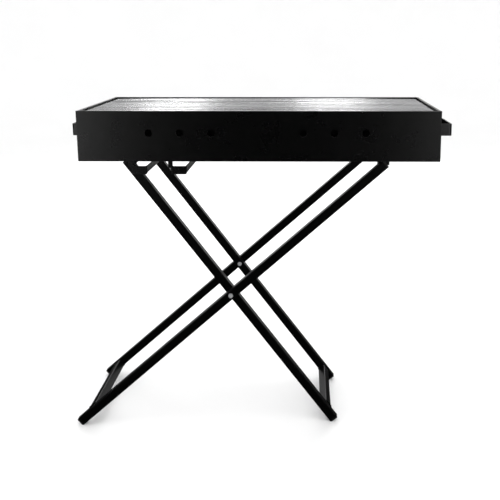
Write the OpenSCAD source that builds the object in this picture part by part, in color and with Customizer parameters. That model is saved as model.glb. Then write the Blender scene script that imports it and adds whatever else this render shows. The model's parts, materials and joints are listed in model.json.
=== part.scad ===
// Charcoal firebox with a grate on a folding X stand of square tube.
// Frame: +Z up from the floor, X along the firebox, front at -Y,
// origin under the middle of the whole object.

/* [Firebox] */
// Length of the firebox along X
fire_w = 800; // [700:10:900]
// Depth of the firebox, front to rear
fire_d = 350; // [320:5:420]
// Height of the firebox walls
fire_h = 112; // [90:1:140]
// Thickness of the sheet steel
sheet = 2; // [1:0.5:3]
// Width of the rim turned inwards at the top of each wall
rim_w = 6; // [4:1:10]
// Diameter of the air holes
vent_d = 17; // [10:1:24]
// Height of the air hole centres above the firebox floor
vent_z = 63; // [40:1:70]
// Distance between neighbouring air holes in a group
vent_pitch = 69; // [40:1:75]
// Distance from the middle of the row to the nearest air hole
vent_first = 101; // [60:1:110]
// Sideways shift of the whole row of air holes
vent_shift = -3.5; // [-6:0.5:6]

/* [Grate] */
// Depth of the grate's top below the rim
grate_drop = 4; // [2:1:12]
// Clearance between the grate and the rim, all round
grate_clear = 4; // [3:1:8]
// Diameter of the long rods that the food lies on
long_rod_d = 5; // [4:0.5:6]
// Number of long rods
long_rods = 24; // [16:1:26]
// Diameter of the cross rods and of the grate's border rod
cross_rod_d = 6; // [5:0.5:8]
// Number of cross rods between the two ends
cross_rods = 9; // [5:1:13]
// Width of the ledges that carry the grate
ledge_w = 14; // [10:1:20]

/* [Handles] */
// How far each handle stands out from its end wall
handle_reach = 46; // [35:1:60]
// Length of each handle from front to rear
handle_span = 120; // [90:5:150]
// Height of the flat bar
handle_h = 28; // [20:1:32]
// Thickness of the flat bar
handle_t = 3; // [3:0.5:5]
// Outer bend radius of the flat bar
handle_bend = 7; // [5:1:12]

/* [Stand] */
// Side of the square tube
tube = 20; // [18:1:22]
// Wall of the square tube
tube_wall = 1.5; // [1:0.5:2]
// Outer corner radius of the square tube
tube_r = 2; // [1.5:0.5:3]
// Lean of the outer legs from the floor, in degrees
outer_angle = 41.3; // [40:0.1:42]
// Lean of the inner legs from the floor, in degrees
inner_angle = 53.2; // [52.5:0.1:54]
// Distance of the crossing pivot from the left end of the firebox
pivot_from_left = 329; // [320:1:335]
// Depth of the crossing pivot below the firebox
pivot_drop = 323; // [318:1:328]
// Height of the firebox above the floor
stand_h = 654; // [640:1:660]
// Distance of the outer legs from the firebox's front and rear faces
leg_inset = 33; // [31:1:40]
// Gap between an outer leg and the inner leg beside it
leg_gap = 1.5; // [1.5:0.5:3]
// Distance of the outer foot bar from the crossing pivot
outer_foot_bar_at = 450; // [440:1:460]
// Distance of the inner foot bar from the crossing pivot
inner_foot_bar_at = 374; // [360:1:380]
// Depth of the hinge axis below the firebox
hinge_drop = 17; // [16:1:20]
// Height cut off the foot plugs' corners to make flat soles
sole_cut = 2; // [1.5:0.1:2]

/* [Brackets] */
// Thickness of every bracket plate
plate = 3; // [2:0.5:4]
// Height of the stops beside the inner top bar
stop_h = 14; // [10:1:15]
// Length of each stop from front to rear
stop_len = 30; // [20:1:40]
// Width of a keeper's tongue
keeper_w = 36; // [30:1:40]
// Height of a keeper's tongue
keeper_h = 19; // [15:1:22]
// Depth of a keeper's tongue below the firebox
keeper_drop = 16.5; // [14:0.5:20]
// Distance of the first keeper's tip from the left end of the firebox
keeper_tip = 145; // [143:1:148]
// Distance between the two keepers of a pair
keeper_pitch = 89.5; // [80:0.5:100]

/* [Fasteners] */
// Diameter of the crossing pivot bolts
pivot_d = 6; // [5:1:8]
// Diameter of the hinge rod that joins the tops of the outer legs
hinge_d = 12; // [10:1:12]
// Radial running clearance of the pivots
run_clear = 0.06; // [0.04:0.01:0.08]

/* [Hidden] */
$fn = 48;
half_tube = tube / 2;
gap = 0.3;                      // between faces of pieces that move apart
press = 0.02;                   // radial slack of a bolt held in its own frame
plug_flange = 3.5;
plug_depth = 15;
plug_slack = 0.1;

// lengths along the legs, from the crossing pivot
outer_foot_l = (stand_h + sole_cut - pivot_drop - half_tube * cos(outer_angle)) / sin(outer_angle);
inner_foot_l = (stand_h + sole_cut - pivot_drop - half_tube * cos(inner_angle)) / sin(inner_angle);
hinge_at = (pivot_drop - hinge_drop) / sin(outer_angle);
outer_top_l = hinge_at + half_tube;
bar_half_h = half_tube * (cos(inner_angle) + sin(inner_angle));
inner_bar_at = (pivot_drop - gap - bar_half_h) / sin(inner_angle);
inner_top_l = inner_bar_at + half_tube;

// the whole object is centred on X = 0
foot_reach = outer_foot_l * cos(outer_angle) + half_tube * sin(outer_angle);
x_low = min(-handle_reach, pivot_from_left - foot_reach);
x_high = fire_w + handle_reach;
left_end = -(x_low + x_high) / 2;
pivot_x = left_end + pivot_from_left;
pivot_z = stand_h - pivot_drop;
hinge_x = pivot_x + hinge_at * cos(outer_angle);
hinge_z = stand_h - hinge_drop;
bar_x = pivot_x - inner_bar_at * cos(inner_angle);

// planes across the depth: centre of each leg, faces and bar lengths
outer_y = fire_d / 2 - leg_inset - half_tube;
inner_y = outer_y - tube - leg_gap;
outer_bar_l = 2 * (outer_y - half_tube);
inner_bar_l = 2 * (inner_y - half_tube);
keeper_y = -(outer_y + half_tube) + 1;
keeper_nose = 4;

// grate levels above the firebox floor
long_z = fire_h - grate_drop - long_rod_d / 2;
cross_z = long_z - (long_rod_d + cross_rod_d) / 2;
ledge_z = cross_z - cross_rod_d / 2 - gap;
grate_w = fire_w - 2 * (rim_w + grate_clear);
grate_d = fire_d - 2 * (rim_w + grate_clear);
border_r = 14;
long_pitch = (grate_d - 2 * cross_rod_d - long_rod_d) / (long_rods - 1);
cross_pitch = grate_w / (cross_rods + 1);

// bolt heads, nuts and washers
pivot_head_w = 10;
pivot_head_h = 4;
pivot_nut_h = 5;
washer_d = 14;

black = [0.06, 0.06, 0.065];
steel = [0.72, 0.72, 0.74];
zinc = [0.62, 0.63, 0.65];

// ---- shared shapes ----

// A square with exact round corners, centred
module soft_square(side, r) {
    square([side, side - 2 * r], center = true);
    square([side - 2 * r, side], center = true);
    for (x = [-1, 1], y = [-1, 1])
        translate([x, y] * (side / 2 - r)) circle(r);
}

// Square tube along +X from x = a to x = b
module tube_along_x(a, b) {
    translate([a, 0, 0]) rotate([90, 0, 90])
        linear_extrude(b - a) difference() {
            soft_square(tube, tube_r);
            soft_square(tube - 2 * tube_wall, max(tube_r - tube_wall, 0.5));
        }
}

// Round hole or shaft along Y, from y = a to y = b
module round_y(r, a, b) {
    translate([0, a, 0]) rotate([-90, 0, 0]) cylinder(r = r, h = b - a);
}

// Outline in X and Z, made into a plate from y = a to y = b
module plate_y(a, b) {
    translate([0, b, 0]) rotate([90, 0, 0]) linear_extrude(b - a) children();
}

// Places children with +X along a leg, from the crossing pivot to the leg's top
module on_outer(y) {
    translate([pivot_x, y, pivot_z]) rotate([0, -outer_angle, 0]) children();
}
module on_inner(y) {
    translate([pivot_x, y, pivot_z]) rotate([0, inner_angle - 180, 0]) children();
}

// Places children in the firebox's own frame: left end, mid depth, underside
module on_firebox() {
    translate([left_end, 0, stand_h]) children();
}

// The front copy of a piece, or its mirror image at the rear
module at_side(side) {
    if (side < 0) children();
    else mirror([0, 1, 0]) children();
}

// ---- firebox ----

module long_wall() {
    difference() {
        union() {
            translate([0, -fire_d / 2, 0]) cube([fire_w, sheet, fire_h]);
            translate([0, -fire_d / 2, fire_h - sheet]) cube([fire_w, rim_w, sheet]);
        }
        for (group = [-1, 1], i = [0 : 2])
            translate([fire_w / 2 + vent_shift + group * (vent_first + i * vent_pitch), 0, vent_z])
                round_y(vent_d / 2, -fire_d / 2 - 1, -fire_d / 2 + sheet + 1);
    }
}

module end_wall() {
    inside = fire_d - 2 * sheet;
    rim_len = fire_d - 2 * rim_w;
    translate([0, -inside / 2, 0]) cube([sheet, inside, fire_h - sheet]);
    translate([0, -rim_len / 2, fire_h - sheet]) cube([rim_w, rim_len, sheet]);
}

module front_wall() { color(black) on_firebox() long_wall(); }
module rear_wall() { color(black) on_firebox() at_side(1) long_wall(); }
module end_wall_left() { color(black) on_firebox() end_wall(); }
module end_wall_right() {
    color(black) on_firebox() translate([fire_w, 0, 0]) mirror([1, 0, 0]) end_wall();
}
module floor_plate() {
    color(black) on_firebox()
        translate([sheet, -fire_d / 2 + sheet, 0])
            cube([fire_w - 2 * sheet, fire_d - 2 * sheet, sheet]);
}

// Angle strip along a long wall, its flat top carries the grate
module ledge() {
    wall_y = -fire_d / 2 + sheet;
    translate([sheet, wall_y, ledge_z - ledge_w]) cube([fire_w - 2 * sheet, sheet, ledge_w]);
    translate([sheet, wall_y, ledge_z - sheet]) cube([fire_w - 2 * sheet, ledge_w, sheet]);
}
module ledge_front() { color(black) on_firebox() ledge(); }
module ledge_rear() { color(black) on_firebox() at_side(1) ledge(); }

// ---- handles ----

// U outline, open towards +X, its arms ending at x = 0
module u_outline(reach, span, r) {
    translate([-reach + r, -span / 2]) square([reach - r, span]);
    translate([-reach, -span / 2 + r]) square([reach, span - 2 * r]);
    for (y = [-1, 1]) translate([-reach + r, y * (span / 2 - r)]) circle(r);
}
module handle() {
    translate([0, 0, (fire_h - handle_h) / 2]) linear_extrude(handle_h) difference() {
        u_outline(handle_reach, handle_span, handle_bend);
        translate([0.01, 0])
            u_outline(handle_reach - handle_t + 0.01, handle_span - 2 * handle_t, handle_bend - handle_t);
    }
}
module handle_left() { color(black) on_firebox() handle(); }
module handle_right() {
    color(black) on_firebox() translate([fire_w, 0, 0]) mirror([1, 0, 0]) handle();
}

// ---- brackets under the firebox ----

// Plate beside the outer leg with a lobe round the hinge rod and a welded flange
module hinge_bracket() {
    lobe_r = 11;
    reach_right = 17;
    width = lobe_r + reach_right;
    flange_d = 18;
    near_y = -(outer_y - half_tube) + gap;
    translate([hinge_x - left_end, 0, 0]) difference() {
        union() {
            plate_y(near_y, near_y + plate) {
                translate([-lobe_r, -hinge_drop]) square([width, hinge_drop]);
                translate([0, -hinge_drop]) circle(lobe_r);
            }
            translate([-lobe_r, near_y, -plate]) cube([width, flange_d, plate]);
        }
        translate([0, 0, -hinge_drop])
            round_y(hinge_d / 2 + run_clear, near_y - 1, near_y + plate + 1);
    }
}
module hinge_bracket_front() { color(black) on_firebox() hinge_bracket(); }
module hinge_bracket_rear() { color(black) on_firebox() at_side(1) hinge_bracket(); }

// Angle that stops the inner top bar sliding outwards
module bar_stop() {
    bar_left = bar_x - left_end - half_tube * (cos(inner_angle) + sin(inner_angle));
    face_x = bar_left - gap;
    inset = 8;
    flange_w = 18;
    near_y = -(inner_y - half_tube) + inset;
    translate([face_x - plate, near_y, -stop_h]) cube([plate, stop_len, stop_h]);
    translate([face_x - flange_w, near_y, -plate]) cube([flange_w, stop_len, plate]);
}
module bar_stop_front() { color(black) on_firebox() bar_stop(); }
module bar_stop_rear() { color(black) on_firebox() at_side(1) bar_stop(); }

// Hooked plate that carries one end of a rail below the firebox
module keeper(tip_x) {
    stem_w = 10.5;
    stem_back = 6;
    flange_d = 18;
    stem_x = tip_x - keeper_w - stem_back;
    plate_y(keeper_y, keeper_y + plate) {
        translate([stem_x, -keeper_drop - 4]) square([stem_w, keeper_drop + 4]);
        translate([tip_x - keeper_w, -keeper_drop - keeper_h + keeper_nose])
            square([keeper_w, keeper_h - keeper_nose]);
        translate([tip_x - keeper_w, -keeper_drop - keeper_h])
            square([keeper_w - keeper_nose, keeper_h]);
        translate([tip_x - keeper_nose, -keeper_drop - keeper_h + keeper_nose])
            circle(keeper_nose);
    }
    translate([stem_x, keeper_y, -plate]) cube([stem_w, flange_d, plate]);
}
module keeper_front_1() { color(black) on_firebox() keeper(keeper_tip); }
module keeper_front_2() { color(black) on_firebox() keeper(keeper_tip + keeper_pitch); }
module keeper_rear_1() { color(black) on_firebox() at_side(1) keeper(keeper_tip); }
module keeper_rear_2() { color(black) on_firebox() at_side(1) keeper(keeper_tip + keeper_pitch); }

// Flat bar on edge between a front keeper and the rear one behind it
module keeper_rail(tip_x) {
    start_y = keeper_y + plate;
    rail_h = keeper_h - keeper_nose;
    translate([tip_x - plate, start_y, -keeper_drop - rail_h])
        cube([plate, -2 * start_y, rail_h]);
}
module keeper_rail_1() { color(black) on_firebox() keeper_rail(keeper_tip); }
module keeper_rail_2() { color(black) on_firebox() keeper_rail(keeper_tip + keeper_pitch); }

// ---- grate ----

// One round rod from point a, length l, along X or Y
module rod_x(a, l, d) { translate(a) rotate([0, 90, 0]) cylinder(d = d, h = l); }
module rod_y(a, l, d) { translate(a) rotate([-90, 0, 0]) cylinder(d = d, h = l); }

module grate_border() {
    r = border_r;
    w = grate_w - cross_rod_d;
    d = grate_d - cross_rod_d;
    color(steel) on_firebox() translate([fire_w / 2, 0, cross_z]) {
        for (s = [-1, 1]) {
            rod_x([-w / 2 + r, s * d / 2, 0], w - 2 * r, cross_rod_d);
            rod_y([s * w / 2, -d / 2 + r, 0], d - 2 * r, cross_rod_d);
        }
        for (sx = [0, 1], sy = [0, 1]) mirror([sx, 0, 0]) mirror([0, sy, 0])
            translate([w / 2 - r, d / 2 - r, 0])
                rotate_extrude(angle = 90) translate([r, 0]) circle(d = cross_rod_d);
    }
}

module grate_long_rods() {
    first = -(long_rods - 1) / 2 * long_pitch;
    color(steel) on_firebox() translate([fire_w / 2, 0, long_z])
        for (i = [0 : long_rods - 1])
            rod_x([-grate_w / 2, first + i * long_pitch, 0], grate_w, long_rod_d);
}

module grate_cross_rods() {
    l = grate_d - 2 * cross_rod_d;
    color(steel) on_firebox() translate([fire_w / 2, 0, cross_z])
        for (i = [1 : cross_rods])
            rod_y([-grate_w / 2 + i * cross_pitch, -l / 2, 0], l, cross_rod_d);
}

// ---- stand ----

// One leg: tube with a hole through both sides for the crossing pivot
module leg(foot_l, top_l, pivot_r) {
    difference() {
        tube_along_x(-foot_l + plug_flange, top_l - plug_flange);
        round_y(pivot_r, -tube, tube);
    }
}
module outer_leg() { leg(outer_foot_l, outer_top_l, pivot_d / 2 + press); }
module inner_leg() { leg(inner_foot_l, inner_top_l, pivot_d / 2 + run_clear); }

module outer_leg_front() { color(black) on_outer(-outer_y) outer_leg(); }
module outer_leg_rear() { color(black) on_outer(outer_y) outer_leg(); }
module inner_leg_front() { color(black) on_inner(-inner_y) inner_leg(); }
module inner_leg_rear() { color(black) on_inner(inner_y) inner_leg(); }

// Bar between two legs, centred at a distance along them
module bar(at, l) {
    translate([at, 0, 0]) rotate([0, 0, 90]) tube_along_x(-l / 2, l / 2);
}
module outer_foot_bar() { color(black) on_outer(0) bar(-outer_foot_bar_at, outer_bar_l); }
module inner_foot_bar() { color(black) on_inner(0) bar(-inner_foot_bar_at, inner_bar_l); }
module inner_top_bar() { color(black) on_inner(0) bar(inner_bar_at, inner_bar_l); }

// Plastic plug that closes a tube end at x = 0, its stem reaching towards -X
module plug(depth) {
    rotate([90, 0, 90]) {
        translate([0, 0, -plug_flange]) linear_extrude(plug_flange) soft_square(tube, tube_r);
        translate([0, 0, -plug_flange - depth]) linear_extrude(depth)
            soft_square(tube - 2 * tube_wall - 2 * plug_slack, 0.5);
    }
}

// Two foot plugs of a frame, cut flat where they stand on the floor
module foot_plugs(y, foot_l, inner) {
    difference() {
        for (s = [-1, 1]) {
            if (inner) on_inner(s * y) translate([-foot_l, 0, 0]) mirror([1, 0, 0]) plug(plug_depth);
            else on_outer(s * y) translate([-foot_l, 0, 0]) mirror([1, 0, 0]) plug(plug_depth);
        }
        translate([-fire_w, -fire_d, -tube]) cube([2 * fire_w, 2 * fire_d, tube]);
    }
}
module outer_foot_plugs() { color(black) foot_plugs(outer_y, outer_foot_l, false); }
module inner_foot_plugs() { color(black) foot_plugs(inner_y, inner_foot_l, true); }
module outer_top_plugs() {
    short = 2;
    color(black) for (s = [-1, 1])
        on_outer(s * outer_y) translate([outer_top_l, 0, 0]) plug(short);
}
module inner_top_plugs() {
    color(black) for (s = [-1, 1])
        on_inner(s * inner_y) translate([inner_top_l, 0, 0]) plug(plug_depth);
}

// ---- hinge rod, bolts, nuts and washers ----

// Round rod welded between the outer legs; the firebox brackets turn on it
module hinge_rod() {
    color(black) translate([hinge_x, 0, hinge_z])
        round_y(hinge_d / 2, -outer_bar_l / 2, outer_bar_l / 2);
}

// Hexagon of width w across its flats, along Y from y = a to y = b
module hex_y(w, a, b) {
    translate([0, a, 0]) rotate([-90, 0, 0]) cylinder(d = w / cos(30), h = b - a, $fn = 6);
}

// Stack of leg faces at one crossing, as the bolt meets them from its head
module pivot_bolt(head_y, nut_y) {
    color(zinc) translate([pivot_x, 0, pivot_z]) {
        hex_y(pivot_head_w, head_y - pivot_head_h, head_y);
        round_y(pivot_d / 2, head_y, nut_y + pivot_nut_h + 2);
    }
}
module pivot_nut(nut_y) {
    color(zinc) translate([pivot_x, 0, pivot_z]) difference() {
        hex_y(pivot_head_w, nut_y, nut_y + pivot_nut_h);
        round_y(pivot_d / 2 + press, nut_y - 1, nut_y + pivot_nut_h + 1);
    }
}
module pivot_washer(y) {
    thick = leg_gap - gap;
    color(zinc) translate([pivot_x, 0, pivot_z]) difference() {
        round_y(washer_d / 2, y - thick / 2, y + thick / 2);
        round_y(pivot_d / 2 + press, y - leg_gap, y + leg_gap);
    }
}
front_head_y = -(outer_y + half_tube);
front_nut_y = -(inner_y - half_tube) + gap;
rear_head_y = inner_y - half_tube - gap;
rear_nut_y = outer_y + half_tube;
front_gap_y = -(outer_y - half_tube) + (leg_gap - gap) / 2;
module pivot_bolt_front() { pivot_bolt(front_head_y, front_nut_y); }
module pivot_bolt_rear() { pivot_bolt(rear_head_y, rear_nut_y); }
module pivot_nut_front() { pivot_nut(front_nut_y); }
module pivot_nut_rear() { pivot_nut(rear_nut_y); }
module pivot_washer_front() { pivot_washer(front_gap_y); }
module pivot_washer_rear() { pivot_washer(-front_gap_y); }

front_wall();
rear_wall();
end_wall_left();
end_wall_right();
floor_plate();
ledge_front();
ledge_rear();
handle_left();
handle_right();
hinge_bracket_front();
hinge_bracket_rear();
bar_stop_front();
bar_stop_rear();
keeper_front_1();
keeper_front_2();
keeper_rear_1();
keeper_rear_2();
keeper_rail_1();
keeper_rail_2();
grate_border();
grate_long_rods();
grate_cross_rods();
outer_leg_front();
outer_leg_rear();
outer_foot_bar();
hinge_rod();
outer_foot_plugs();
outer_top_plugs();
pivot_bolt_front();
pivot_bolt_rear();
pivot_nut_front();
pivot_nut_rear();
pivot_washer_front();
pivot_washer_rear();
inner_leg_front();
inner_leg_rear();
inner_foot_bar();
inner_top_bar();
inner_foot_plugs();
inner_top_plugs();
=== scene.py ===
import json
import math
import random

import bmesh
import bpy
from mathutils import Matrix, Vector


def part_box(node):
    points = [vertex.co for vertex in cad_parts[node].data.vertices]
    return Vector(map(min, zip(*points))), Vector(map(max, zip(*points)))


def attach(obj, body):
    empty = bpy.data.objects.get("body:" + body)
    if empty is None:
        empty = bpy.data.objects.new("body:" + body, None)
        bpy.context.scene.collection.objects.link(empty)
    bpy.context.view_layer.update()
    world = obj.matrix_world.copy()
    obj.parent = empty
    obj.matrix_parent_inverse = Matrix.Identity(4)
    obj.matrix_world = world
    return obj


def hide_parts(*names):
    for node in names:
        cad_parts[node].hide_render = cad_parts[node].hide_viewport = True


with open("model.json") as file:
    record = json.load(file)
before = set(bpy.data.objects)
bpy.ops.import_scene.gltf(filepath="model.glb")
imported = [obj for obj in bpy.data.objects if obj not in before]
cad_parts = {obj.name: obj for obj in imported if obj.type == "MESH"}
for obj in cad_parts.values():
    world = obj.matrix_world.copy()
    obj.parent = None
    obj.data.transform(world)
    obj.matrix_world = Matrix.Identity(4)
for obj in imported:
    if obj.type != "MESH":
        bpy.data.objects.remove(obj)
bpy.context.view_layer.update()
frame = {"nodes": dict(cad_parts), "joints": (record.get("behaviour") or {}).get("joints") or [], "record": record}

# A charcoal firebox on a folding X stand. Lengths here are metres, in the CAD frame:
# X along the firebox, front at -Y, +Z up from the floor.

MM = 0.001
COPLANAR = math.radians(0.4)    # faces this near to one plane are one face
SHARP = math.radians(35)        # edges sharper than this are rounded
TOUCHING = 0.001 * MM           # points nearer than this are one point
IN_LINE = 0.01 * MM             # a point this near a plane lies on it
BODY_OF = {node: body for body, nodes in frame["record"]["behaviour"]["bodies"].items()
           for node in nodes}


# ---- places taken from the CAD model ----

def joint_pos(name):
    """The point that a hinge joint turns about."""
    return Vector(next(j["pos_m"] for j in frame["joints"] if j["name"] == name))


def centre(node):
    """Middle of a node's box."""
    lo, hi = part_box(node)
    return (lo + hi) / 2


PIVOT = joint_pos("inner_frame_pivot")
WALL_LO, WALL_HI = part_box("front_wall")
BOX_LEFT, BOX_RIGHT = WALL_LO.x, WALL_HI.x
BOX_FRONT, BOX_REAR = WALL_LO.y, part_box("rear_wall")[1].y
BOX_BOTTOM, BOX_TOP = WALL_LO.z, WALL_HI.z
LEG_LO, LEG_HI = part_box("outer_leg_front")
TUBE = LEG_HI.y - LEG_LO.y
TUBE_RADIUS = 2 * MM
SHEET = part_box("floor_plate")[1].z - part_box("floor_plate")[0].z


def lean(bar_node):
    """Angle of a frame from the floor, seen from the front, from a bar and the crossing pivot."""
    to_bar = centre(bar_node) - PIVOT
    return math.atan2(to_bar.z, to_bar.x)


# ---- shader helpers ----

class Shader:
    """One procedural material; every pattern is measured in the object's own metres."""

    def __init__(self, name):
        self.mat = bpy.data.materials.new(name)
        self.mat.use_nodes = True
        self.nodes = self.mat.node_tree.nodes
        self.links = self.mat.node_tree.links
        self.bsdf = self.nodes["Principled BSDF"]
        self.place = self.nodes.new("ShaderNodeTexCoord").outputs["Object"]

    def link(self, source, target):
        self.links.new(source, target)

    def set(self, **values):
        for key, value in values.items():
            self.bsdf.inputs[key.replace("_", " ")].default_value = value

    def noise(self, scale, stretch=(1, 1, 1), detail=3.0, rough=0.55):
        """Noise with about `scale` blobs per metre, stretched along the axes."""
        mapping = self.nodes.new("ShaderNodeMapping")
        mapping.inputs["Scale"].default_value = stretch
        self.link(self.place, mapping.inputs["Vector"])
        tex = self.nodes.new("ShaderNodeTexNoise")
        tex.inputs["Scale"].default_value = scale
        tex.inputs["Detail"].default_value = detail
        tex.inputs["Roughness"].default_value = rough
        self.link(mapping.outputs["Vector"], tex.inputs["Vector"])
        return tex.outputs["Fac"]

    def remap(self, value, low, high, to_low=0.0, to_high=1.0):
        node = self.nodes.new("ShaderNodeMapRange")
        node.inputs["From Min"].default_value = low
        node.inputs["From Max"].default_value = high
        node.inputs["To Min"].default_value = to_low
        node.inputs["To Max"].default_value = to_high
        self.link(value, node.inputs["Value"])
        return node.outputs["Result"]

    def math(self, kind, a, b):
        node = self.nodes.new("ShaderNodeMath")
        node.operation = kind
        for socket, value in zip(node.inputs, (a, b)):
            if isinstance(value, (int, float)):
                socket.default_value = value
            else:
                self.link(value, socket)
        return node.outputs[0]

    def mix(self, factor, a, b):
        """Colour between a and b; each is a socket or an RGB triple."""
        node = self.nodes.new("ShaderNodeMix")
        node.data_type = "RGBA"
        self.link(factor, node.inputs["Factor"])
        for socket, value in zip((node.inputs[6], node.inputs[7]), (a, b)):
            if isinstance(value, tuple):
                socket.default_value = (*value, 1)
            else:
                self.link(value, socket)
        return node.outputs[2]

    def edges(self, radius):
        """1 on sharp edges, 0 on flat faces, from a rounded normal."""
        bevel = self.nodes.new("ShaderNodeBevel")
        bevel.samples = 4
        bevel.inputs["Radius"].default_value = radius
        flat = self.nodes.new("ShaderNodeNewGeometry").outputs["Normal"]
        dot = self.nodes.new("ShaderNodeVectorMath")
        dot.operation = "DOT_PRODUCT"
        self.link(bevel.outputs["Normal"], dot.inputs[0])
        self.link(flat, dot.inputs[1])
        return self.remap(dot.outputs["Value"], 0.985, 0.88)

    def facing_up(self):
        """1 where a face looks up, 0 where it stands or looks down."""
        split = self.nodes.new("ShaderNodeSeparateXYZ")
        self.link(self.nodes.new("ShaderNodeNewGeometry").outputs["Normal"], split.inputs[0])
        return self.remap(split.outputs["Z"], 0.55, 0.98)

    def bump(self, height, distance, strength=1.0, after=None):
        node = self.nodes.new("ShaderNodeBump")
        node.inputs["Distance"].default_value = distance
        node.inputs["Strength"].default_value = strength
        self.link(height, node.inputs["Height"])
        if after is not None:
            self.link(after, node.inputs["Normal"])
        return node.outputs["Normal"]

    def finish(self, colour=None, rough=None, normal=None):
        for socket, key in ((colour, "Base Color"), (rough, "Roughness"), (normal, "Normal")):
            if socket is not None:
                self.link(socket, self.bsdf.inputs[key])
        return self.mat


LOW, HIGH = 0.3, 0.7            # the span that noise mostly keeps to
DUST = (0.030, 0.029, 0.027)
HEAT_MARK = (0.42, 0.38, 0.33)


def shade(colour, factor):
    """A colour made lighter or darker."""
    return tuple(factor * c for c in colour)


def black_paint(name, base, worn, rough, specular, grain, sheet_wave):
    """Baked black paint: fine orange peel, cloudy gloss, a little dust and rubbed edges."""
    s = Shader(name)
    s.set(Specular_IOR_Level=specular)
    clouds, specks = s.noise(9, detail=4), s.noise(420, detail=2)
    scratches, fluff = s.noise(160, detail=5), s.noise(55, detail=5)
    rubbed = s.math("MULTIPLY", s.edges(0.9 * MM), s.remap(scratches, 0.46, 0.62))
    dust = s.math("MULTIPLY", s.facing_up(), s.remap(fluff, 0.42, 0.75, 0.0, 0.25))
    tone = s.mix(s.remap(clouds, LOW, HIGH), base, shade(base, 1.35))
    tone = s.mix(s.remap(specks, 0.66, 0.74, 0.0, 0.5), tone, shade(base, 2.4))
    tone = s.mix(dust, tone, DUST)
    tone = s.mix(s.math("MULTIPLY", rubbed, 0.55), tone, worn)
    smears = s.noise(26, detail=5)
    gloss = s.remap(smears, LOW, HIGH, rough - 0.015, rough + 0.02)
    gloss = s.math("ADD", gloss, s.math("MULTIPLY", dust, 0.35))
    peel = s.bump(s.noise(grain, detail=2, rough=0.5), 0.09 * MM, 0.5)
    waves = s.bump(s.noise(7, detail=1), sheet_wave, 1.0, peel)
    return s.finish(tone, gloss, waves)


def drawn_steel(name, along, base=(0.80, 0.80, 0.81), rough=0.24):
    """Bright drawn rod: fine lines along the rod, dull lengths and faint heat marks.
    `along` is 1 for the axis that the rods follow and 0 for the others."""
    s = Shader(name)
    s.set(Metallic=0.86)
    patches = s.noise(60, tuple(0.05 if a else 1 for a in along), detail=3)
    lines = s.noise(700, tuple(0.01 if a else 1 for a in along), detail=4, rough=0.7)
    heat = s.remap(s.noise(38, detail=5), 0.64, 0.80, 0.0, 0.35)
    tone = s.mix(s.remap(patches, 0.35, HIGH), base, shade(base, 0.66))
    tone = s.mix(heat, tone, HEAT_MARK)
    gloss = s.math("ADD", s.remap(patches, LOW, HIGH, rough - 0.05, rough + 0.10),
                   s.remap(lines, LOW, HIGH, -0.05, 0.05))
    return s.finish(tone, gloss, s.bump(lines, 0.05 * MM, 0.6))


def zinc_plate(name):
    """Zinc plating: pale crystalline patches, a slightly blue cast and a painted highlight along the edges."""
    s = Shader(name)
    s.set(Metallic=0.8)
    crystals = s.nodes.new("ShaderNodeTexVoronoi")
    crystals.inputs["Scale"].default_value = 700
    s.link(s.place, crystals.inputs["Vector"])
    patches = s.noise(260, detail=4)
    tone = s.mix(s.remap(patches, 0.35, 0.7), (0.80, 0.81, 0.83), (0.66, 0.67, 0.68))
    # painted highlight: every sharp edge is made paler by the same amount all along
    tone = s.mix(s.math("MULTIPLY", s.edges(0.4 * MM), 0.6), tone, (0.90, 0.91, 0.92))
    gloss = s.remap(crystals.outputs["Distance"], 0.0, 0.8, 0.42, 0.60)
    return s.finish(tone, gloss, s.bump(patches, 0.04 * MM, 0.5))


def moulded_plastic(name):
    """Black moulded plastic: fine spark-eroded grain, greyer where it is scuffed."""
    s = Shader(name)
    s.set(Specular_IOR_Level=0.35)
    scuffs = s.math("MULTIPLY", s.edges(1.2 * MM), s.remap(s.noise(240, detail=5), 0.45, 0.6))
    tone = s.mix(s.remap(s.noise(30), LOW, HIGH), (0.008, 0.008, 0.008), (0.014, 0.014, 0.014))
    tone = s.mix(scuffs, tone, (0.05, 0.05, 0.05))
    gloss = s.remap(s.noise(90, detail=4), LOW, HIGH, 0.46, 0.62)
    return s.finish(tone, gloss, s.bump(s.noise(1500, detail=2), 0.06 * MM, 0.6))


FIRE_PAINT = black_paint("fire_paint", (0.0008, 0.0008, 0.0009), (0.026, 0.026, 0.027),
                         rough=0.28, specular=0.50, grain=1100, sheet_wave=0.4 * MM)
FRAME_PAINT = black_paint("frame_paint", (0.0006, 0.0006, 0.0007), (0.020, 0.020, 0.021),
                          rough=0.32, specular=0.22, grain=1500, sheet_wave=0.1 * MM)
ROD_STEEL_X = drawn_steel("rod_steel_x", (1, 0, 0))
ROD_STEEL_Y = drawn_steel("rod_steel_y", (0, 1, 0))
WELD_STEEL = drawn_steel("weld_steel", (0, 0, 0), base=(0.50, 0.49, 0.48), rough=0.38)
ZINC = zinc_plate("zinc_plate")
PLASTIC = moulded_plastic("moulded_plastic")


# ---- mesh helpers ----

def piece(name, bm, material, body, stands_for=(), sharp_from=38):
    """Turns a bmesh into a smooth-shaded piece that rides on a body."""
    bmesh.ops.recalc_face_normals(bm, faces=bm.faces)
    mesh = bpy.data.meshes.new(name)
    bm.to_mesh(mesh)
    bm.free()
    mesh.materials.append(material)
    mesh.polygons.foreach_set("use_smooth", [True] * len(mesh.polygons))
    mesh.set_sharp_from_angle(angle=math.radians(sharp_from))
    obj = bpy.data.objects.new(name, mesh)
    bpy.context.scene.collection.objects.link(obj)
    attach(obj, body)
    if stands_for:
        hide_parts(*stands_for)
    return obj


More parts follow.
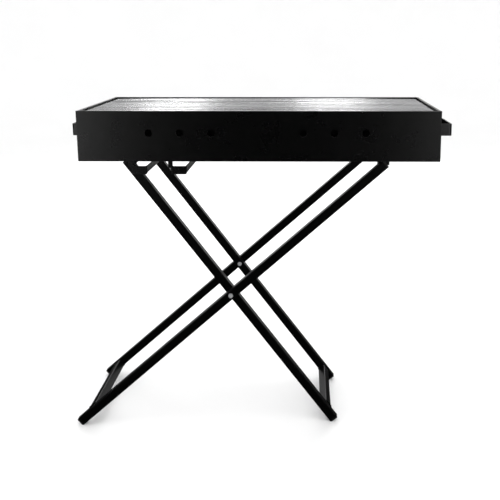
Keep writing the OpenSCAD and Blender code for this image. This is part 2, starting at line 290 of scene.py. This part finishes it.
def sweep(bm, points, section, up=Vector((0, 0, 1)), closed=False, scales=None):
    """Skins a closed section (sideways, up) along points. `scales` widens it point by point."""
    count = len(points)
    rings = []
    for i, point in enumerate(points):
        before = points[(i - 1) % count] if closed or i > 0 else point
        after = points[(i + 1) % count] if closed or i < count - 1 else point
        ahead = (after - before).normalized()
        side = ahead.cross(up).normalized()
        above = side.cross(ahead).normalized()
        scale = scales[i] if scales else 1.0
        rings.append([bm.verts.new(point + (side * a + above * b) * scale) for a, b in section])
    spans = count if closed else count - 1
    for i in range(spans):
        ring, following = rings[i], rings[(i + 1) % count]
        for j in range(len(section)):
            k = (j + 1) % len(section)
            bm.faces.new((ring[j], ring[k], following[k], following[j]))
    if not closed:
        bm.faces.new(list(reversed(rings[0])))
        bm.faces.new(rings[-1])


def round_section(radius, steps=12):
    return [(radius * math.cos(2 * math.pi * i / steps), radius * math.sin(2 * math.pi * i / steps))
            for i in range(steps)]


def soft_rectangle(width, height, radius, steps=5):
    """Outline of a rectangle with round corners, centred, anticlockwise."""
    outline = []
    for quarter in range(4):
        across = 1 if quarter in (0, 3) else -1
        above = 1 if quarter in (0, 1) else -1
        for i in range(steps + 1):
            a = math.pi / 2 * (quarter + i / steps)
            outline.append((across * (width / 2 - radius) + radius * math.cos(a),
                            above * (height / 2 - radius) + radius * math.sin(a)))
    return outline


def soften(node, material, width, rule=None, segments=3):
    """A copy of a CAD node with rounded edges, which then stands for the node.
    `rule(a, b)` gives the rounding of the edge between points a and b, up to `width`."""
    bm = bmesh.new()
    bm.from_mesh(frame["nodes"][node].data)
    bmesh.ops.remove_doubles(bm, verts=bm.verts, dist=TOUCHING)
    bmesh.ops.dissolve_limit(bm, angle_limit=COPLANAR, verts=bm.verts, edges=bm.edges)
    weight = bm.edges.layers.float.new("bevel_weight_edge")
    for edge in bm.edges:
        if len(edge.link_faces) == 2 and edge.calc_face_angle() > SHARP:
            a, b = (v.co for v in edge.verts)
            edge[weight] = (rule(a, b) if rule else width) / width
    draft = bpy.data.meshes.new(node + "_draft")
    bm.to_mesh(draft)
    bm.free()
    holder = bpy.data.objects.new(node + "_draft", draft)
    bpy.context.scene.collection.objects.link(holder)
    rounding = holder.modifiers.new("rounding", "BEVEL")
    rounding.limit_method = "WEIGHT"
    rounding.width = width
    rounding.segments = segments
    rounding.miter_outer = "MITER_ARC"
    ready = holder.evaluated_get(bpy.context.evaluated_depsgraph_get())
    rounded = bmesh.new()
    rounded.from_mesh(ready.to_mesh())
    bpy.data.objects.remove(holder)
    bpy.data.meshes.remove(draft)
    shaped = piece(node + "_shaped", rounded, material, BODY_OF[node], (node,), 30)
    flat_faces = shaped.modifiers.new("flat_faces", "WEIGHTED_NORMAL")
    flat_faces.keep_sharp = True
    return shaped


# ---- firebox ----

SHEET_BEND = 1.7 * MM           # outer radius where sheet is folded
CUT_EDGE = 0.25 * MM            # sheared edges of sheet
BUTT_EDGE = 0.05 * MM           # ends of a wall that meet the next wall
HOLE_EDGE = 0.5 * MM            # punched air holes
FLOOR_EDGE = 0.1 * MM
LEDGE_EDGE = 0.35 * MM
HANDLE_EDGE = 0.7 * MM
BRACKET_EDGE = 0.5 * MM


def on_plane(value, a, b, axis):
    """Whether points a and b both lie on the plane at `value` along an axis."""
    return abs(a[axis] - value) < IN_LINE and abs(b[axis] - value) < IN_LINE


def long_wall_rule(outer_y):
    """Sheet bends on the outer rim of a long wall, eased air holes, fine edges elsewhere."""
    def rule(a, b):
        outside = on_plane(outer_y, a, b, 1)
        bends = ((BOX_TOP, 2), (BOX_BOTTOM, 2), (BOX_LEFT, 0), (BOX_RIGHT, 0))
        if outside and any(on_plane(value, a, b, axis) for value, axis in bends):
            return SHEET_BEND
        return HOLE_EDGE if outside else CUT_EDGE
    return rule


def end_wall_rule(outer_x):
    """Sheet bends along the top and bottom of an end wall."""
    def rule(a, b):
        outside = on_plane(outer_x, a, b, 0)
        if outside and (on_plane(BOX_TOP, a, b, 2) or on_plane(BOX_BOTTOM, a, b, 2)):
            return SHEET_BEND
        return BUTT_EDGE if outside else CUT_EDGE
    return rule


def firebox_shell():
    """Walls with folded rims, the floor plate and the ledges."""
    for node, rule in (("front_wall", long_wall_rule(BOX_FRONT)),
                       ("rear_wall", long_wall_rule(BOX_REAR)),
                       ("end_wall_left", end_wall_rule(BOX_LEFT)),
                       ("end_wall_right", end_wall_rule(BOX_RIGHT))):
        soften(node, FIRE_PAINT, SHEET_BEND, rule, 4)
    soften("floor_plate", FIRE_PAINT, FLOOR_EDGE, segments=1)
    for node in ("ledge_front", "ledge_rear"):
        soften(node, FIRE_PAINT, LEDGE_EDGE, segments=2)


def handles():
    """Flat-bar handles with eased edges."""
    for node in ("handle_left", "handle_right"):
        soften(node, FIRE_PAINT, HANDLE_EDGE)


BRACKETS = ("hinge_bracket", "bar_stop", "keeper")


def brackets():
    """Every plate under the firebox, with eased edges."""
    for node in sorted(frame["nodes"]):
        if node.startswith(BRACKETS):
            soften(node, FIRE_PAINT, BRACKET_EDGE)


# ---- grate ----

GRATE_LO, GRATE_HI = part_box("grate_border")
LONG_LO, LONG_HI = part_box("grate_long_rods")
CROSS_LO, CROSS_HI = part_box("grate_cross_rods")
LONG_D = LONG_HI.z - LONG_LO.z
CROSS_D = CROSS_HI.z - CROSS_LO.z
BORDER_BEND = 14 * MM
LONG_RODS = 24
CROSS_RODS = 9
WARP_RISE = 2.6 * MM


def warp(x, y):
    """How far the welded grate has sprung up at a place; the corners stay on the ledges."""
    u = 2 * (x - (GRATE_LO.x + GRATE_HI.x) / 2) / (GRATE_HI.x - GRATE_LO.x)
    v = 2 * (y - (GRATE_LO.y + GRATE_HI.y) / 2) / (GRATE_HI.y - GRATE_LO.y)
    return WARP_RISE * (1 - u * u) * (0.45 + 0.45 * v + 0.10 * math.cos(2.3 * u + 4 * v))


def long_rod_ys():
    step = (LONG_HI.y - LONG_LO.y - LONG_D) / (LONG_RODS - 1)
    return [LONG_LO.y + LONG_D / 2 + i * step for i in range(LONG_RODS)]


def cross_rod_xs():
    step = (CROSS_HI.x - CROSS_LO.x - CROSS_D) / (CROSS_RODS - 1)
    return [CROSS_LO.x + CROSS_D / 2 + i * step for i in range(CROSS_RODS)]


def grate_long_rods():
    """Long rods, each a little out of line, with the slow waves of straightened coil wire."""
    rng = random.Random(11)
    bm = bmesh.new()
    z = (LONG_LO.z + LONG_HI.z) / 2
    steps = 64
    for y in long_rod_ys():
        phase = [rng.uniform(0, 2 * math.pi) for _ in range(4)]
        aside, raised = rng.uniform(-1.3, 1.3), rng.uniform(-0.2, 0.9)
        points = []
        for i in range(steps + 1):
            t = i / steps
            x = LONG_LO.x + t * (LONG_HI.x - LONG_LO.x)
            hold = math.sin(math.pi * t) ** 0.25 if 0 < t < 1 else 0.0
            side = aside + 0.6 * math.sin(5 * t + phase[0]) + 0.2 * math.sin(13 * t + phase[1])
            lift = raised + 0.35 * math.sin(4 * t + phase[2]) + 0.12 * math.sin(11 * t + phase[3])
            points.append(Vector((x, y + side * hold * MM, z + warp(x, y) + lift * hold * MM)))
        sweep(bm, points, round_section(LONG_D / 2, 12))
    piece("grate_long_rods_drawn", bm, ROD_STEEL_X, "grate", ("grate_long_rods",), 50)


def grate_cross_rods():
    bm = bmesh.new()
    z = (CROSS_LO.z + CROSS_HI.z) / 2
    steps = 20
    for x in cross_rod_xs():
        points = []
        for i in range(steps + 1):
            y = CROSS_LO.y + i / steps * (CROSS_HI.y - CROSS_LO.y)
            points.append(Vector((x, y, z + warp(x, y))))
        sweep(bm, points, round_section(CROSS_D / 2, 14))
    piece("grate_cross_rods_drawn", bm, ROD_STEEL_Y, "grate", ("grate_cross_rods",), 50)


def grate_border():
    """The border rod, bent round four corners and butt-welded into a ring."""
    half, corner_steps, piece_l = CROSS_D / 2, 8, 0.02
    lo, hi = GRATE_LO, GRATE_HI
    z = (lo.z + hi.z) / 2
    corners = ((hi.x - half, hi.y - half, 0), (lo.x + half, hi.y - half, 1),
               (lo.x + half, lo.y + half, 2), (hi.x - half, lo.y + half, 3))
    path = []
    for cx, cy, quarter in corners:
        mid_x = cx - BORDER_BEND * (1 if quarter in (0, 3) else -1)
        mid_y = cy - BORDER_BEND * (1 if quarter in (0, 1) else -1)
        for i in range(corner_steps + 1):
            a = math.pi / 2 * (quarter + i / corner_steps)
            path.append((mid_x + BORDER_BEND * math.cos(a), mid_y + BORDER_BEND * math.sin(a)))
    dense = []
    for (ax, ay), (bx, by) in zip(path, path[1:] + path[:1]):
        parts = max(1, round(math.hypot(bx - ax, by - ay) / piece_l))
        dense += [(ax + (bx - ax) * i / parts, ay + (by - ay) * i / parts) for i in range(parts)]
    points = [Vector((x, y, z + warp(x, y))) for x, y in dense]
    bm = bmesh.new()
    sweep(bm, points, round_section(half, 14), closed=True)
    piece("grate_border_drawn", bm, ROD_STEEL_X, "grate", ("grate_border",), 50)


def grate_welds():
    """A small resistance-weld nugget wherever a long rod crosses a rod under it."""
    rng = random.Random(5)
    bm = bmesh.new()
    end_xs = [GRATE_LO.x + CROSS_D / 2, GRATE_HI.x - CROSS_D / 2]
    for x in cross_rod_xs() + end_xs:
        for y in long_rod_ys():
            size = rng.uniform(1.7, 2.2) * MM
            at = Vector((x + rng.uniform(-0.3, 0.3) * MM, y, LONG_LO.z + warp(x, y)))
            scale = Matrix.Diagonal((size * 1.15, size, size * 0.62, 1))
            bmesh.ops.create_uvsphere(bm, u_segments=8, v_segments=5, radius=1.0,
                                      matrix=Matrix.Translation(at) @ scale)
    piece("grate_welds", bm, WELD_STEEL, "grate", (), 60)


# ---- weld beads ----

BAR_BEAD = 1.3 * MM             # radius of each kind of bead
HINGE_BEAD = 0.14 * MM
HANDLE_BEAD = 1.4 * MM
BRACKET_BEAD = 1.3 * MM
RAIL_BEAD = 1.2 * MM
CORNER_BEAD = 1.5 * MM
LEDGE_BEAD = 1.4 * MM
RIPPLE = 0.9 * MM               # length of one ripple along a bead


def bead(bm, points, radius, rng, closed=False):
    """A run of weld with its row of overlapping ripples, along points about a ripple apart."""
    scales = []
    for i in range(len(points)):
        ripple = 0.86 + 0.20 * abs(math.sin(1.05 * i)) + rng.uniform(-0.05, 0.05)
        at_end = not closed and i in (0, len(points) - 1)
        scales.append(0.35 if at_end else ripple)
    sweep(bm, points, round_section(radius, 8), up=bead_up(points), closed=closed, scales=scales)


def bead_up(points):
    """A direction well away from the run, to build its rings on."""
    run = points[1] - points[0]
    return Vector((0, 1, 0)) if abs(run.y) < 0.7 * run.length else Vector((0, 0, 1))


def line(a, b):
    """Points from a to b, about a ripple apart."""
    parts = max(3, round((b - a).length / RIPPLE))
    return [a.lerp(b, i / parts) for i in range(parts + 1)]


def weld_run(name, runs, radius, body, material=None, closed=False):
    """One piece of several beads; each run is a list of points."""
    rng = random.Random(name)
    bm = bmesh.new()
    for points in runs:
        bead(bm, points, radius, rng, closed)
    return piece(name, bm, material or FIRE_PAINT, body, (), 60)


def tube_ring(at, angle, y):
    """Points round a square tube that runs along Y, turned by an angle about Y."""
    off = 0.6 * MM
    outline = soft_rectangle(TUBE + 2 * off, TUBE + 2 * off, TUBE_RADIUS + off, 3)
    along = Vector((math.cos(angle), 0, math.sin(angle)))
    above = Vector((-math.sin(angle), 0, math.cos(angle)))
    corners = [Vector((at.x, y, at.z)) + along * a + above * b for a, b in outline]
    ring = []
    for a, b in zip(corners, corners[1:] + corners[:1]):
        parts = max(1, round((b - a).length / MM))
        ring += [a.lerp(b, i / parts) for i in range(parts)]
    return ring


def frame_welds():
    """Ripple beads where the bars and the hinge rod meet the inner faces of the legs."""
    inset = 0.5 * MM
    for bar in ("outer_foot_bar", "inner_foot_bar", "inner_top_bar"):
        lo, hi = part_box(bar)
        runs = [tube_ring(centre(bar), lean(bar), y) for y in (lo.y + inset, hi.y - inset)]
        weld_run("weld_" + bar, runs, BAR_BEAD, BODY_OF[bar], FRAME_PAINT, True)
    lo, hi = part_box("hinge_rod")
    off, inset, steps = 0.3 * MM, 0.15 * MM, 40
    circle = round_section((hi.x - lo.x) / 2 + off, steps)
    at = centre("hinge_rod")
    rings = [[Vector((at.x + across, y, at.z + above)) for across, above in circle]
             for y in (lo.y + inset, hi.y - inset)]
    weld_run("weld_hinge_rod", rings, HINGE_BEAD, "outer_frame", FRAME_PAINT, True)


def handle_welds():
    """Upright beads on both sides of each handle arm, against the end wall."""
    bar_t, off = 3 * MM, 0.3 * MM
    for node, wall_x, away in (("handle_left", BOX_LEFT, -1), ("handle_right", BOX_RIGHT, 1)):
        lo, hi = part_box(node)
        x = wall_x + away * 0.4 * MM
        runs = [line(Vector((x, y, lo.z + MM)), Vector((x, y, hi.z - MM)))
                for y in (lo.y - off, lo.y + bar_t + off, hi.y - bar_t - off, hi.y + off)]
        weld_run("weld_" + node, runs, HANDLE_BEAD, "firebox")


def bracket_welds():
    """Beads along the free edges of each flange under the firebox floor."""
    stem_w, inset, off = 10.5 * MM, 1.5 * MM, 0.2 * MM
    z = BOX_BOTTOM - off
    for node in sorted(frame["nodes"]):
        if node.startswith("keeper_rail") or not node.startswith(BRACKETS):
            continue
        lo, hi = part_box(node)
        rear = centre(node).y > 0
        inner_y = lo.y - off if rear else hi.y + off
        if node.startswith("bar_stop"):
            upright_xs, across_to = [lo.x - off], None
        elif node.startswith("hinge_bracket"):
            upright_xs, across_to = [], hi.x
        else:
            upright_xs, across_to = [lo.x - off, lo.x + stem_w + off], lo.x + stem_w
        runs = [line(Vector((x, lo.y + inset, z)), Vector((x, hi.y - inset, z))) for x in upright_xs]
        if across_to is not None:
            runs.append(line(Vector((lo.x + inset, inner_y, z)),
                             Vector((across_to - inset, inner_y, z))))
        weld_run("weld_" + node, runs, BRACKET_BEAD, "firebox")


def rail_welds():
    """Upright beads at both ends of each rail, against its keepers."""
    for node in ("keeper_rail_1", "keeper_rail_2"):
        lo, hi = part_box(node)
        x = lo.x - 0.2 * MM
        runs = [line(Vector((x, y, lo.z + MM)), Vector((x, y, hi.z - MM)))
                for y in (lo.y + 0.2 * MM, hi.y - 0.2 * MM)]
        weld_run("weld_" + node, runs, RAIL_BEAD, "firebox")


def firebox_welds():
    """Upright fillets inside the four corners and tacks under both ledges."""
    inward = SHEET + 0.5 * MM
    low, high = BOX_BOTTOM + 3 * MM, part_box("ledge_front")[0].z - MM
    runs = [line(Vector((x, y, low)), Vector((x, y, high)))
            for x in (BOX_LEFT + inward, BOX_RIGHT - inward)
            for y in (BOX_FRONT + inward, BOX_REAR - inward)]
    weld_run("weld_corners", runs, CORNER_BEAD, "firebox")
    tacks, tack_count, half_tack = [], 7, 6 * MM
    for node, y in (("ledge_front", BOX_FRONT + inward), ("ledge_rear", BOX_REAR - inward)):
        lo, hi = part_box(node)
        for i in range(1, tack_count + 1):
            x = lo.x + (hi.x - lo.x) * i / (tack_count + 1)
            tacks.append(line(Vector((x - half_tack, y, lo.z)), Vector((x + half_tack, y, lo.z))))
    weld_run("weld_ledges", tacks, LEDGE_BEAD, "firebox")


# ---- fasteners ----

HEX_STEPS = 72
CHAMFER = math.tan(math.radians(30))
HEAD_H = 4 * MM
BOLT_R = 3 * MM
PITCH = 1 * MM
THREAD_L = 9 * MM
THREAD_TURNS = 8
NUT_BORE_R = 3.02 * MM
NUT_LEAD_IN = 0.5 * MM
WASHER_EDGE = 0.2 * MM
FACE_SHARE = 0.47               # radius of the flat face of a head or nut, as a share of its width


def hex_radius(across_flats, step):
    """Distance from the middle of a hexagon to its outline, at one of HEX_STEPS directions."""
    a = (2 * math.pi * step / HEX_STEPS) % (math.pi / 3) - math.pi / 6
    return across_flats / 2 / math.cos(a)


def turned(bm, at, facing, profile):
    """Lathe along Y: profile is a list of (offset along Y, radius or a function of the step)."""
    rings = []
    for offset, radius in profile:
        ring = []
        for step in range(HEX_STEPS):
            a = 2 * math.pi * step / HEX_STEPS
            reach = radius(step) if callable(radius) else radius
            drop = offset(step) if callable(offset) else offset
            point = Vector((reach * math.cos(a), facing * drop, reach * math.sin(a)))
            ring.append(bm.verts.new(at + point))
        rings.append(ring)
    for ring, following in zip(rings, rings[1:]):
        for j in range(HEX_STEPS):
            k = (j + 1) % HEX_STEPS
            bm.faces.new((ring[j], ring[k], following[k], following[j]))
    return rings


def hex_edge(flats, inner, height):
    """Height of a hexagon's chamfered rim, which a 30 degree cone cuts away at the corners."""
    return lambda step: height - (hex_radius(flats, step) - inner) * CHAMFER


def pivot_bolt(node):
    """Hexagon bolt with a dished head, a plain shank and a threaded end."""
    lo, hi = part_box(node)
    flats = hi.z - lo.z
    rim = FACE_SHARE * flats
    seat = lo.y + HEAD_H
    length = hi.y - seat
    thread_from = length - THREAD_L
    root_r = 0.86 * BOLT_R
    bm = bmesh.new()
    head = [(0.0, BOLT_R), (0.0, lambda s: hex_radius(flats, s)),
            (hex_edge(flats, rim, HEAD_H), lambda s: hex_radius(flats, s)),
            (HEAD_H, rim), (HEAD_H, 0.62 * rim),
            (HEAD_H - 0.7 * MM, 0.46 * rim), (HEAD_H - 0.8 * MM, 0.05 * rim)]
    rings = turned(bm, Vector((PIVOT.x, seat, PIVOT.z)), -1, head)
    bm.faces.new(rings[-1])
    shank = [(0.0, BOLT_R), (thread_from, BOLT_R)]
    for i in range(THREAD_TURNS):
        start = thread_from + i * PITCH
        shank += [(start + 0.15 * PITCH, BOLT_R), (start + 0.60 * PITCH, root_r),
                  (start + 0.75 * PITCH, root_r)]
    shank += [(length - 0.6 * MM, 0.98 * BOLT_R), (length, 0.80 * BOLT_R)]
    rings = turned(bm, Vector((PIVOT.x, seat, PIVOT.z)), 1, shank)
    bm.faces.new(rings[-1])
    bmesh.ops.remove_doubles(bm, verts=bm.verts, dist=TOUCHING)
    piece(node + "_turned", bm, ZINC, BODY_OF[node], (node,), 28)


def pivot_nut(node):
    """Hexagon nut, chamfered on both faces."""
    lo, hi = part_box(node)
    flats, height = hi.z - lo.z, hi.y - lo.y
    rim, bore = FACE_SHARE * flats, NUT_BORE_R
    mouth = bore + NUT_LEAD_IN
    bm = bmesh.new()

    def low_edge(step):
        return (hex_radius(flats, step) - rim) * CHAMFER

    profile = [(NUT_LEAD_IN, bore), (0.0, mouth), (0.0, rim),
               (low_edge, lambda s: hex_radius(flats, s)),
               (hex_edge(flats, rim, height), lambda s: hex_radius(flats, s)), (height, rim),
               (height, mouth), (height - NUT_LEAD_IN, bore), (NUT_LEAD_IN, bore)]
    turned(bm, Vector((PIVOT.x, lo.y, PIVOT.z)), 1, profile)
    bmesh.ops.remove_doubles(bm, verts=bm.verts, dist=TOUCHING)
    piece(node + "_turned", bm, ZINC, BODY_OF[node], (node,), 28)


def fasteners():
    """The two crossing bolts with their nuts and washers."""
    for side in ("front", "rear"):
        pivot_bolt("pivot_bolt_" + side)
        pivot_nut("pivot_nut_" + side)
        soften("pivot_washer_" + side, ZINC, WASHER_EDGE, segments=2)


# ---- stand ----

PLUG_EDGE = 0.5 * MM


def stand():
    """The CAD tubes carry over; only the paint and the rounded plastic plugs are new."""
    for node in ("outer_leg_front", "outer_leg_rear", "inner_leg_front", "inner_leg_rear",
                 "outer_foot_bar", "inner_foot_bar", "inner_top_bar", "hinge_rod"):
        data = frame["nodes"][node].data
        data.materials.clear()
        data.materials.append(FRAME_PAINT)
    for node in ("outer_foot_plugs", "inner_foot_plugs", "outer_top_plugs", "inner_top_plugs"):
        soften(node, PLASTIC, PLUG_EDGE)


# ---- studio ----

def camera():
    """The photograph's viewpoint: ahead and a little right of the middle, looking slightly down."""
    data = bpy.data.cameras.new("camera")
    data.lens, data.sensor_width = 53.57, 36
    data.shift_x, data.shift_y = -0.0966, -0.15
    obj = bpy.data.objects.new("camera", data)
    obj.location = (0.103, -1.792, 0.938)
    down, aside = math.radians(10.98), math.radians(0.53)
    level = Vector((-math.sin(aside), math.cos(aside), 0))
    ahead = level * math.cos(down) - Vector((0, 0, math.sin(down)))
    obj.rotation_euler = ahead.to_track_quat("-Z", "Y").to_euler()
    bpy.context.scene.collection.objects.link(obj)
    bpy.context.scene.camera = obj


def studio_floor():
    """A pale floor that curves up into a pale wall all round, far behind every camera."""
    floor_r, bend_r, wall_h, bend_steps, spin = 5.0, 2.0, 6.0, 12, 96
    profile = [(0.9 * floor_r, 0.0), (floor_r, 0.0)]
    for i in range(1, bend_steps + 1):
        a = math.pi / 2 * i / bend_steps
        profile.append((floor_r + bend_r * math.sin(a), bend_r * (1 - math.cos(a))))
    profile.append((floor_r + bend_r, wall_h))
    bm = bmesh.new()
    turns = [2 * math.pi * i / spin for i in range(spin)]
    rings = [[bm.verts.new((r * math.cos(a), r * math.sin(a), z)) for a in turns]
             for r, z in profile]
    bm.faces.new(rings[0])
    for ring, following in zip(rings, rings[1:]):
        for j in range(spin):
            k = (j + 1) % spin
            bm.faces.new((ring[j], ring[k], following[k], following[j]))
    bmesh.ops.recalc_face_normals(bm, faces=bm.faces)
    mesh = bpy.data.meshes.new("studio_floor")
    bm.to_mesh(mesh)
    bm.free()
    mesh.polygons.foreach_set("use_smooth", [True] * len(mesh.polygons))
    s = Shader("studio_white")
    s.set(Roughness=0.9, Specular_IOR_Level=0.0)
    tone = s.mix(s.noise(1.5), (0.86, 0.86, 0.86), (0.90, 0.90, 0.90))
    mesh.materials.append(s.finish(tone))
    obj = bpy.data.objects.new("studio_floor", mesh)
    obj.visible_glossy = False
    bpy.context.scene.collection.objects.link(obj)


# Soft panels: name, place, point that they face, width, height and brightness, where 1 is
# what a mirror would show of white.
PANELS = (
    ("top", (0, 0.2, 3.0), (0, 0, 0.5), 3.0, 3.0, 0.5),
    ("left", (-1.50, -1.75, 0.55), (-1.0, 0, 0.55), 1.1, 1.0, 2.0),
    ("right", (1.40, -1.75, 0.55), (0.9, 0, 0.55), 1.1, 1.0, 2.0),
    ("rear", (0, 3.4, 1.3), (0, 0, 0.6), 6.0, 2.6, 0.8),
    ("rear_left", (-0.735, 2.6, 2.2), (-0.3, 0, 0.8), 0.42, 1.8, 6.5),
    ("rear_right", (0.28, 2.6, 2.2), (0.17, 0, 0.8), 0.42, 1.8, 5.5),
)
AIR_BRIGHTNESS = 1.3


def softbox(name, at, towards, width, height, brightness):
    """One rectangular panel, which lights the object but isn't seen."""
    data = bpy.data.lights.new(name, "AREA")
    data.shape = "RECTANGLE"
    data.size = width
    data.size_y = height
    data.energy = brightness * math.pi * width * height
    obj = bpy.data.objects.new(name, data)
    obj.location = at
    obj.rotation_euler = (Vector(towards) - Vector(at)).to_track_quat("-Z", "Y").to_euler()
    obj.visible_camera = False
    bpy.context.scene.collection.objects.link(obj)


def studio():
    """Even daylight for the floor, and soft panels for what the paint and the rods mirror."""
    studio_floor()
    for panel in PANELS:
        softbox(*panel)
    world = bpy.data.worlds.new("studio_air")
    world.use_nodes = True
    air = world.node_tree.nodes["Background"]
    air.inputs["Color"].default_value = (1, 1, 1, 1)
    air.inputs["Strength"].default_value = AIR_BRIGHTNESS
    world.cycles_visibility.glossy = False
    bpy.context.scene.world = world
    bpy.context.scene.view_settings.view_transform = "Standard"


firebox_shell()
handles()
brackets()
grate_border()
grate_long_rods()
grate_cross_rods()
grate_welds()
stand()
frame_welds()
handle_welds()
bracket_welds()
rail_welds()
firebox_welds()
fasteners()
studio()
camera()
